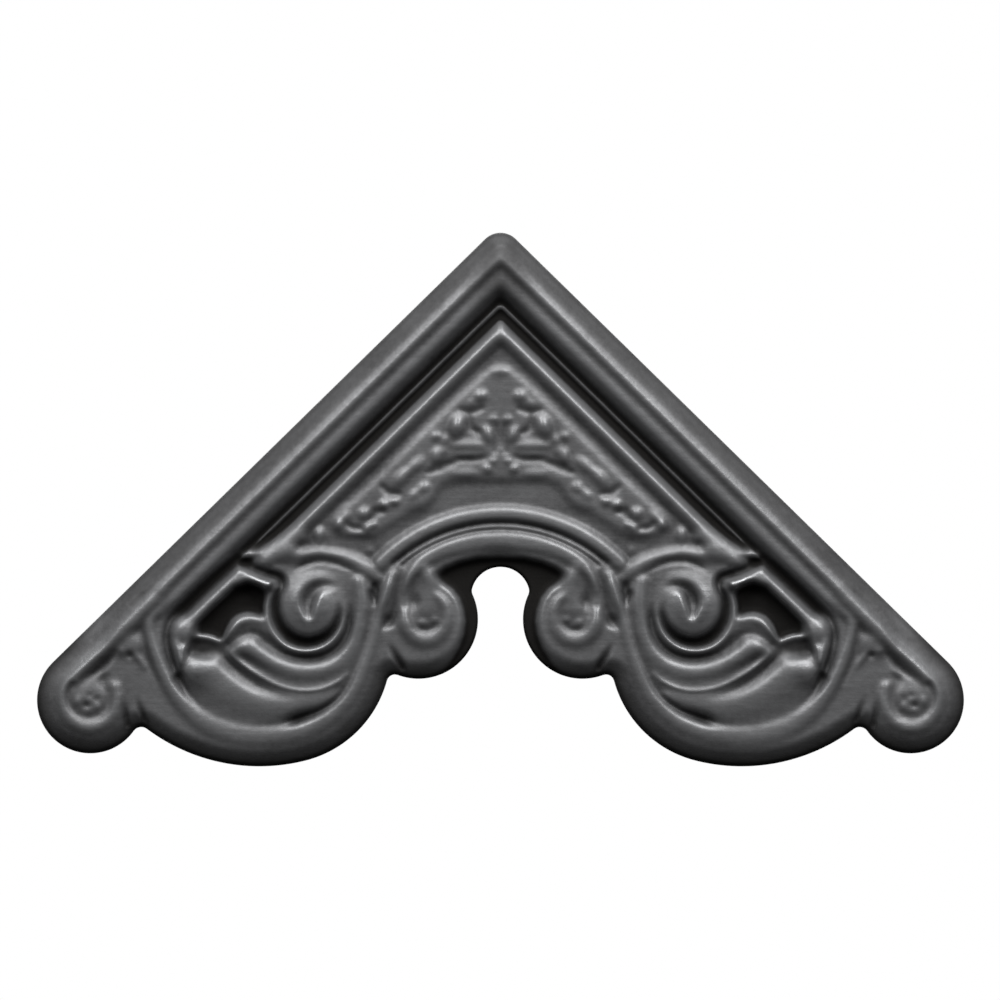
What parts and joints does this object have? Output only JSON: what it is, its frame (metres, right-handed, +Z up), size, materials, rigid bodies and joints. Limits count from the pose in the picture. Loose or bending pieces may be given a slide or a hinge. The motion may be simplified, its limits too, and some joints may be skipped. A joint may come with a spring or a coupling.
{
  "type": "embossed metal corner ornament",
  "caption": "Pressed sheet steel corner ornament with moulded legs, scrolls, leaf lobes and a flower spray, hollow behind, to be fixed flat by its back rim.",
  "frame": {"origin": "middle of the sheet's cut edge under the apex, in the plane of the back rim, where the ornament is fixed", "axes": "+X to the right along the ornament's width, +Z up towards the apex, embossed front facing -Y, back rim facing +Y"},
  "size_m": [0.4002, 0.0115, 0.2304],
  "materials": {
    "pressed_steel": "dark grey oiled sheet steel, semi-gloss, darker in the recesses and lighter on the worn crests"
  },
  "bodies": {
    "root": {"pressed_ornament": "pressed_steel"}
  },
  "joints": []
}
